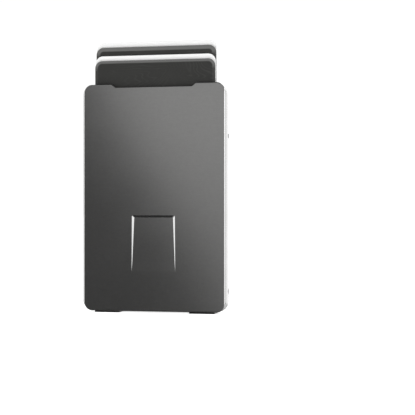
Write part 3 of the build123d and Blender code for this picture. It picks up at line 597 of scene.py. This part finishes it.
def clip_sheet():
    line = mid_line()
    verts, faces = [], []
    cols = 25
    inner_edge = BODY_T - 0.3                       # where the cut-out between the legs ends
    # stations along the sheet; the legs have two strips, the rest is one
    st = [i for i, ((d, h), n) in enumerate(line)]
    rc = 1.5                                        # rounded inner corners of the cut-out

    def span(i):
        (d, h), n = line[i]
        return d, h, n

    def leg_in(d):
        """Inner edge of a leg at depth d, rounded into the cut-out's end."""
        e = inner_edge - d
        if e >= rc:
            return LEG_IN
        t = rc - max(e, 0.0)
        return LEG_IN - (rc - math.sqrt(max(rc * rc - t * t, 0.0)))

    def leg_out(d):
        e = d - LEG0
        r = 0.8
        return BASE - (r - math.sqrt(r * r - (r - e) ** 2)) if e < r else BASE

    def leg_in_end(d):
        e = d - LEG0
        r = 0.8
        return (r - math.sqrt(r * r - (r - e) ** 2)) if e < r else 0.0

    def row(d, h, n, x0, x1, count, side, lip=0.0):
        """A row of points on the outer or inner surface."""
        off = side * CLIP_T / 2
        dd, hh = d + n[0] * off, h + n[1] * off
        ids = []
        for j in range(count):
            t = j / (count - 1)
            t = 0.5 - 0.5 * math.cos(math.pi * t)   # closer together near the edges
            ids.append(len(verts))
            verts.append(Vector((x0 + (x1 - x0) * t, dd - Y_MID, hh + Z_LIFT)) * MM)
        return ids

    def strips(rows_out, rows_in):
        for rows, flip in ((rows_out, False), (rows_in, True)):
            for a, b in zip(rows, rows[1:]):
                for j in range(len(a) - 1):
                    q = (a[j], a[j + 1], b[j + 1], b[j])
                    faces.append(q[::-1] if flip else q)

    def walls(rows_out, rows_in, ends=(True, True)):
        for (a, b), (c, d) in zip(zip(rows_out, rows_out[1:]), zip(rows_in, rows_in[1:])):
            faces.append((a[0], b[0], d[0], c[0]))
            faces.append((a[-1], c[-1], d[-1], b[-1]))
        if ends[0]:
            a, c = rows_out[0], rows_in[0]
            faces.extend((a[j], c[j], c[j + 1], a[j + 1]) for j in range(len(a) - 1))
        if ends[1]:
            a, c = rows_out[-1], rows_in[-1]
            faces.extend((a[j], a[j + 1], c[j + 1], c[j]) for j in range(len(a) - 1))

    # legs, each from its rounded end to the end of the cut-out
    ds = sorted(set([LEG0 + 0.8 * (1 - math.cos(math.radians(a))) for a in (0, 12, 25, 40, 57, 75, 90)]
                    + [LEG0 + 0.8 + (inner_edge - rc - LEG0 - 0.8) * i / 8 for i in range(1, 9)]
                    + [inner_edge - rc + rc * math.sin(math.radians(a)) for a in (15, 30, 45, 60, 75, 85, 90)]))
    legs = []
    n_leg = 11
    for s in (1, -1):
        ro, ri = [], []
        for d in ds:
            x0 = leg_in(d) + leg_in_end(d)
            x1 = leg_out(d)
            a, b = (x0, x1) if s > 0 else (-x1, -x0)
            ro.append(row(d, -CLIP_T / 2, (0.0, -1.0), a, b, n_leg, 1))
            ri.append(row(d, -CLIP_T / 2, (0.0, -1.0), a, b, n_leg, -1))
        strips(ro, ri)
        walls(ro, ri, (True, False))
        legs.append((ro[-1], ri[-1]))
    # first full row: the legs' last rows joined by a middle part
    (ro_r, ri_r), (ro_l, ri_l) = legs
    mid_n = 13

    def joined(l, r, side):
        x0, x1 = verts[l[-1]].x / MM, verts[r[0]].x / MM
        ids = []
        for j in range(1, mid_n):
            ids.append(len(verts))
            base = verts[l[-1]]
            verts.append(Vector((x0 * MM + (x1 - x0) * MM * j / mid_n, base.y, base.z)))
        return l + ids + r

    full_o, full_i = joined(ro_l, ro_r, 1), joined(ri_l, ri_r, -1)
    # wall of the cut-out's end
    a, b = full_o[n_leg - 1:n_leg + mid_n], full_i[n_leg - 1:n_leg + mid_n]
    faces.extend((a[j], b[j], b[j + 1], a[j + 1]) for j in range(len(a) - 1))
    rows_o, rows_i = [full_o], [full_i]
    ref = [verts[i].x / MM / BASE for i in full_o]   # spacing across, as shares of the half width
    lip_r = 1.5
    for (d, h), n in line:
        if h < CLIP_RI and d <= inner_edge + 0.02 and n[0] < 1e-6:
            continue
        for side, rows in ((1, rows_o), (-1, rows_i)):
            off = side * CLIP_T / 2
            dd, hh = d + n[0] * off, h + n[1] * off
            w = half_width(hh)
            ids = []
            for t in ref:
                ids.append(len(verts))
                verts.append(Vector((w * t * MM, (dd - Y_MID) * MM, (hh + Z_LIFT) * MM)))
            rows.append(ids)
    # faces and edge walls of the sheet; the lip's corners are rounded afterwards by add_lip_rows and lip_corners
    strips(rows_o, rows_i)
    walls(rows_o, rows_i, (False, True))
    o = add_mesh("money_clip_sheet", verts, faces, "clip")
    return o


sheet = clip_sheet()


def lip_corners(o, r=1.5):
    """Rounds the two free corners of the lip by moving the outermost columns inwards near the top."""
    me = o.data
    top = max(v.co.z for v in me.vertices)
    r *= MM
    for v in me.vertices:
        e = top - v.co.z
        if e < r and abs(v.co.x) > (STRIP * MM - r) * 0.0:
            keep = STRIP * MM - (r - math.sqrt(max(r * r - (r - e) ** 2, 0.0)))
            v.co.x *= keep / (STRIP * MM)


def add_lip_rows(o):
    """More rows within the lip's corner rounding, so that it comes out round."""
    bm = bmesh.new()
    bm.from_mesh(o.data)
    top = max(v.co.z for v in bm.verts)
    for a in (8, 20, 34, 50, 68):
        e = 1.5 * MM * (1 - math.cos(math.radians(a)))
        geom = [f for f in bm.faces if f.calc_center_median().z > top - 4 * MM]
        geom += [x for x in bm.edges if all(v.co.z > top - 5 * MM for v in x.verts)]
        geom += [v for v in bm.verts if v.co.z > top - 5 * MM]
        bmesh.ops.bisect_plane(bm, geom=geom, dist=1e-7, plane_co=(0, 0, top - e), plane_no=(0, 0, 1))
    bm.to_mesh(o.data)
    bm.free()


add_lip_rows(sheet)
lip_corners(sheet)


def cutters():
    """Countersunk bores for the four clip screws, as one closed mesh."""
    verts, faces = [], []
    for sx in (-24.0, -18.5, 18.5, 24.0):
        prof = [(0.0, -0.5), (1.34, -0.5), (1.34, -0.06 + 0.0), (1.25, 0.0), (0.66, 0.65), (0.66, 1.2), (0.0, 1.2)]
        n = 40
        base = len(verts)
        rings = []
        for r, z in prof[1:-1]:
            ring = []
            for k in range(n):
                a = 2 * math.pi * k / n
                ring.append(len(verts))
                verts.append(Vector((sx + r * math.cos(a), 3.75 - Y_MID + r * math.sin(a), z)) * MM)
            rings.append(ring)
        for a, b in zip(rings, rings[1:]):
            for k in range(n):
                faces.append((a[k], a[(k + 1) % n], b[(k + 1) % n], b[k]))
        faces.append(tuple(rings[0][::-1]))
        faces.append(tuple(rings[-1]))
    me = bpy.data.meshes.new("cut")
    me.from_pydata([tuple(v) for v in verts], [], faces)
    me.update()
    o = bpy.data.objects.new("cut", me)
    scene.collection.objects.link(o)
    bm = bmesh.new()
    bm.from_mesh(me)
    bmesh.ops.recalc_face_normals(bm, faces=bm.faces)
    bm.to_mesh(me)
    bm.free()
    return o


cut = cutters()
b = sheet.modifiers.new("bores", "BOOLEAN")
b.operation, b.object, b.solver = "DIFFERENCE", cut, "EXACT"
bv = sheet.modifiers.new("edge", "BEVEL")
bv.width, bv.segments, bv.limit_method, bv.angle_limit = 0.09 * MM, 2, "ANGLE", math.radians(38)
bv.harden_normals = False
bake_modifiers(sheet)
bpy.data.objects.remove(cut)
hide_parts("money_clip_foot", "money_clip_leaf")
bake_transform(sheet)


# ------------------------------------------------------------------ banknote folded in four
def folded_note():
    lo, hi = nlo, nhi                               # mm
    y0, y1 = lo.y, hi.y
    t = 0.095                                       # paper
    pitch = (y1 - y0 - t) / 3
    ys = [y0 + t / 2 + pitch * i for i in range(4)]
    xa, xb = lo.x, hi.x                             # xa: nested folds, xb: one fold and the free ends

    def arc(cx, cy, r, a0, a1, n=10):
        return [(cx + r * math.cos(math.radians(a0 + (a1 - a0) * k / n)), cy + r * math.sin(math.radians(a0 + (a1 - a0) * k / n)))
                for k in range(1, n)]

    def run(xs, xe, y, n=26):
        return [(xs + (xe - xs) * k / n, y) for k in range(n + 1)]

    R = (ys[3] - ys[0]) / 2
    r = (ys[2] - ys[1]) / 2
    cy = (ys[0] + ys[3]) / 2
    xo = xa + R + t / 2
    r1 = (ys[1] - ys[0]) / 2
    xr = xb - r1 - t / 2
    path = run(xb - 0.35, xo, ys[3])                                  # outermost layer, free end first
    path += arc(xo, cy, R, 90, 270)
    path += run(xo, xr, ys[0])
    path += arc(xr, (ys[0] + ys[1]) / 2, r1, -90, 90, 8)
    path += run(xr, xo, ys[1])
    path += arc(xo, cy, r, 270, 90, 8)
    path += run(xo, xb - 0.9, ys[2])
    # sheet as a grid: path x height, given its thickness by offsetting both ways
    n = len(path)
    rows = 54
    tangents = []
    for i in range(n):
        a, b2 = path[max(i - 1, 0)], path[min(i + 1, n - 1)]
        v = Vector((b2[0] - a[0], b2[1] - a[1]))
        v.normalize()
        tangents.append(v)
    verts, faces = [], []

    def idx(k, i, side):
        return (k * n + i) * 2 + side

    for k in range(rows + 1):
        h = lo.z + (hi.z - lo.z) * k / rows
        for i in range(n):
            # the paper isn't quite flat: the layers breathe a little towards the top edge
            tv = tangents[i]
            nv = Vector((-tv.y, tv.x))
            px, py = path[i]
            open_ = max(0.0, (h - hi.z + 14.0) / 14.0)
            lift = 0.010 * math.sin(px * 0.55 + h * 0.10) * (0.3 + open_)
            # keep the stack inside its own thickness
            py2 = min(max(py + lift, y0 + t / 2 + 0.001), y1 - t / 2 - 0.001)
            hh = min(h + 0.05 * math.sin(i * 0.9) * (1 if 0 < k < rows else 0), hi.z)
            # the inner layers end a little lower or higher than the outer one
            layer_drop = 0.28 * (i > n * 0.27) * open_ + 0.20 * (i > n * 0.62) * open_
            hh = hh - layer_drop
            for side, s in ((0, 0.5), (1, -0.5)):
                verts.append(Vector((px + nv.x * t * s, py2 + nv.y * t * s, hh)) * MM)
    for k in range(rows):
        for i in range(n - 1):
            faces.append((idx(k, i, 0), idx(k, i + 1, 0), idx(k + 1, i + 1, 0), idx(k + 1, i, 0)))
            faces.append((idx(k, i, 1), idx(k + 1, i, 1), idx(k + 1, i + 1, 1), idx(k, i + 1, 1)))
        for i in (0, n - 1):
            faces.append((idx(k, i, 0), idx(k + 1, i, 0), idx(k + 1, i, 1), idx(k, i, 1)))
    for k in (0, rows):
        for i in range(n - 1):
            faces.append((idx(k, i, 0), idx(k, i, 1), idx(k, i + 1, 1), idx(k, i + 1, 0)))
    return add_mesh("folded_banknote", verts, faces, "note", 50.0)


note = folded_note()
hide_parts("banknote")
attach(note, "banknote")

# ------------------------------------------------------------------ floor
n_ring, n_seg = 24, 96
verts, faces = [Vector((0, 0, 0))], []
for k in range(1, n_ring + 1):
    r = 6.0 * (k / n_ring) ** 1.6
    for j in range(n_seg):
        a = 2 * math.pi * j / n_seg
        verts.append(Vector((r * math.cos(a), r * math.sin(a), 0.0)))
for j in range(n_seg):
    faces.append((0, 1 + j, 1 + (j + 1) % n_seg))
for k in range(1, n_ring):
    for j in range(n_seg):
        a, b1 = 1 + (k - 1) * n_seg, 1 + k * n_seg
        faces.append((a + j, b1 + j, b1 + (j + 1) % n_seg, a + (j + 1) % n_seg))
me = bpy.data.meshes.new("floor")
me.from_pydata([tuple(v) for v in verts], [], faces)
floor = bpy.data.objects.new("floor", me)
scene.collection.objects.link(floor)
fm = Mat("pale_floor", Roughness=0.9)
fm.b.inputs["Specular IOR Level"].default_value = 0.1
tone = fm.noise(0.004, 3.0, 0.5)
fm.color(fm.mix(tone, (0.90, 0.90, 0.90), (0.93, 0.93, 0.93)))
fm.b.inputs["Emission Color"].default_value = (1, 1, 1, 1)
fm.b.inputs["Emission Strength"].default_value = 0.80
me.materials.append(fm.done())
floor.visible_glossy = False
floor.visible_shadow = False

# ------------------------------------------------------------------ soft studio light
world = bpy.data.worlds.new("studio")
scene.world = world
world.use_nodes = True
wt = world.node_tree
wt.nodes.clear()


def wn(kind, **kw):
    n = wt.nodes.new(kind)
    for k, v in kw.items():
        setattr(n, k, v)
    return n


def wmath(op, a, b=None, c=None, clamp=False):
    n = wn("ShaderNodeMath", operation=op, use_clamp=clamp)
    for i, v in enumerate((a, b, c)):
        if v is None:
            continue
        if isinstance(v, (int, float)):
            n.inputs[i].default_value = v
        else:
            wt.links.new(v, n.inputs[i])
    return n.outputs[0]


def wramp(x, lo, hi, a=0.0, b=1.0):
    n = wn("ShaderNodeMapRange", interpolation_type="SMOOTHSTEP")
    n.clamp = True
    for k, v in (("From Min", lo), ("From Max", hi), ("To Min", a), ("To Max", b)):
        n.inputs[k].default_value = v
    wt.links.new(x, n.inputs["Value"])
    return n.outputs[0]


tc = wn("ShaderNodeTexCoord")
sep = wn("ShaderNodeSeparateXYZ")
wt.links.new(tc.outputs["Generated"], sep.inputs[0])
X, Y, Z = sep.outputs
# azimuth from the front's normal towards +X, and elevation, in degrees
az = wmath("MULTIPLY", wmath("ARCTAN2", X, wmath("MULTIPLY", Y, -1.0)), 57.29578)
el = wmath("MULTIPLY", wmath("ARCSINE", Z), 57.29578)
side_on = wmath("ABSOLUTE", az)
sides = wmath("MAXIMUM", wramp(az, 34.0, 58.0), wramp(az, -49.5, -26.5, 1.0, 0.0))
level = wmath("MULTIPLY_ADD", sides, 0.84, 0.16)
dip = wmath("MULTIPLY", wramp(side_on, 63.0, 74.0), wramp(side_on, 118.0, 140.0, 1.0, 0.0))
dip = wmath("MULTIPLY", dip, wramp(az, -20.0, 20.0, 0.5, 1.0))
level = wmath("MULTIPLY", level, wmath("MULTIPLY_ADD", dip, -0.46, 1.0))
top = wmath("MULTIPLY", wramp(el, 12.0, 34.0), wramp(el, 44.0, 64.0, 1.0, 0.12))
level = wmath("MULTIPLY", level, wramp(el, 44.0, 64.0, 1.0, 0.12))
level = wmath("MAXIMUM", level, wmath("MULTIPLY", top, 1.25))
low = wramp(el, -24.0, -7.0, 0.10, 1.0)
level = wmath("MULTIPLY", level, low)
# light off the pale floor, kept away from the way the ledge of the thumb groove looks
kept = wmath("MULTIPLY", wramp(az, -31.0, -22.0), wramp(az, -7.0, 2.0, 1.0, 0.0))
steep = wmath("MULTIPLY", wmath("MULTIPLY", wramp(az, -66.0, -48.0), wramp(az, 22.0, 40.0, 1.0, 0.0)),
              wramp(el, -36.0, -30.0, 1.0, 0.0))
kept = wmath("MAXIMUM", kept, steep)
bounce = wmath("MULTIPLY", wramp(el, -22.0, -14.0, 0.62, 0.0), wmath("SUBTRACT", 1.0, kept))
level = wmath("MAXIMUM", level, bounce)
lp = wn("ShaderNodeLightPath")
bg = wn("ShaderNodeBackground")
bg.inputs["Color"].default_value = (1.0, 1.0, 1.0, 1.0)
white = wn("ShaderNodeBackground")
white.inputs["Color"].default_value = (1, 1, 1, 1)
white.inputs["Strength"].default_value = 1.05
# matt surfaces are lit a little less than shiny ones mirror, so white card and paper keep their tone
wt.links.new(wmath("MULTIPLY", level, wmath("MULTIPLY_ADD", lp.outputs["Is Diffuse Ray"], -0.03, 1.0)),
             bg.inputs["Strength"])
mixs = wn("ShaderNodeMixShader")
wt.links.new(lp.outputs["Is Camera Ray"], mixs.inputs[0])
wt.links.new(bg.outputs[0], mixs.inputs[1])
wt.links.new(white.outputs[0], mixs.inputs[2])
wo = wn("ShaderNodeOutputWorld")
wt.links.new(mixs.outputs[0], wo.inputs[0])


def card_light(name, y, outline, strength, turned=False, glossy_only=True, low=0.55):
    """A flat soft light or, at strength 0, a black flag, seen only in reflections. The outline is in
    (x, z) mm on the plane y; turned places it half a turn round the vertical axis."""
    s = -1 if turned else 1
    verts = [(s * x * MM, s * y * MM, z * MM) for x, z in outline]
    me = bpy.data.meshes.new(name)
    me.from_pydata(verts, [], [tuple(range(len(verts)))])
    o = bpy.data.objects.new(name, me)
    scene.collection.objects.link(o)
    mt = bpy.data.materials.new(name)
    mt.use_nodes = True
    t = mt.node_tree
    t.nodes.clear()
    out = t.nodes.new("ShaderNodeOutputMaterial")
    em = t.nodes.new("ShaderNodeEmission")
    t.links.new(em.outputs[0], out.inputs[0])
    t2 = t.nodes.new("ShaderNodeTexCoord")
    sp = t.nodes.new("ShaderNodeSeparateXYZ")
    t.links.new(t2.outputs["Object"], sp.inputs[0])
    mr = t.nodes.new("ShaderNodeMapRange")
    mr.inputs["From Min"].default_value = -0.03
    mr.inputs["From Max"].default_value = 0.10
    mr.inputs["To Min"].default_value = strength * low
    mr.inputs["To Max"].default_value = strength
    t.links.new(sp.outputs[2], mr.inputs["Value"])
    t.links.new(mr.outputs[0], em.inputs["Strength"])
    me.materials.append(mt)
    o.visible_camera = False
    o.visible_shadow = False
    o.visible_transmission = False
    o.visible_volume_scatter = False
    if glossy_only:
        o.visible_diffuse = False
    return o


SOFT = [(-73, 140), (-41.5, 76.5), (-19.9, 47.2), (-0.2, 15.6), (8.0, -5.1), (20, -34), (37, -34), (37, 140)]
card_light("softbox_front", -115.8, SOFT, 1.42)
card_light("softbox_front_outer", -115.8, [(37.05, -34), (170, -34), (170, 140), (37.05, 140)], 1.05, low=0.75)
card_light("softbox_back", 115.8, [(-80, -34), (56.5, -34), (56.5, 150), (-80, 150)], 1.75, low=0.42)


def area(name, loc, target, size, power, glossy=True):
    d = bpy.data.lights.new(name, "AREA")
    d.shape = "RECTANGLE"
    d.size, d.size_y = size
    d.energy = power
    o = bpy.data.objects.new(name, d)
    scene.collection.objects.link(o)
    o.location = loc
    o.rotation_euler = (Vector(target) - Vector(loc)).to_track_quat("-Z", "Y").to_euler()
    o.visible_camera = False
    o.visible_glossy = glossy
    return o


area("fill_front", (0.25, -0.9, 0.35), (0, 0, 0.06), (0.7, 0.7), 0.66, glossy=False)
area("fill_low", (0.05, -0.62, -0.50), (0, 0, 0.07), (0.45, 0.45), 1.0, glossy=False)
area("fill_back", (-0.25, 0.9, 0.35), (0, 0, 0.06), (0.7, 0.7), 0.06, glossy=False)
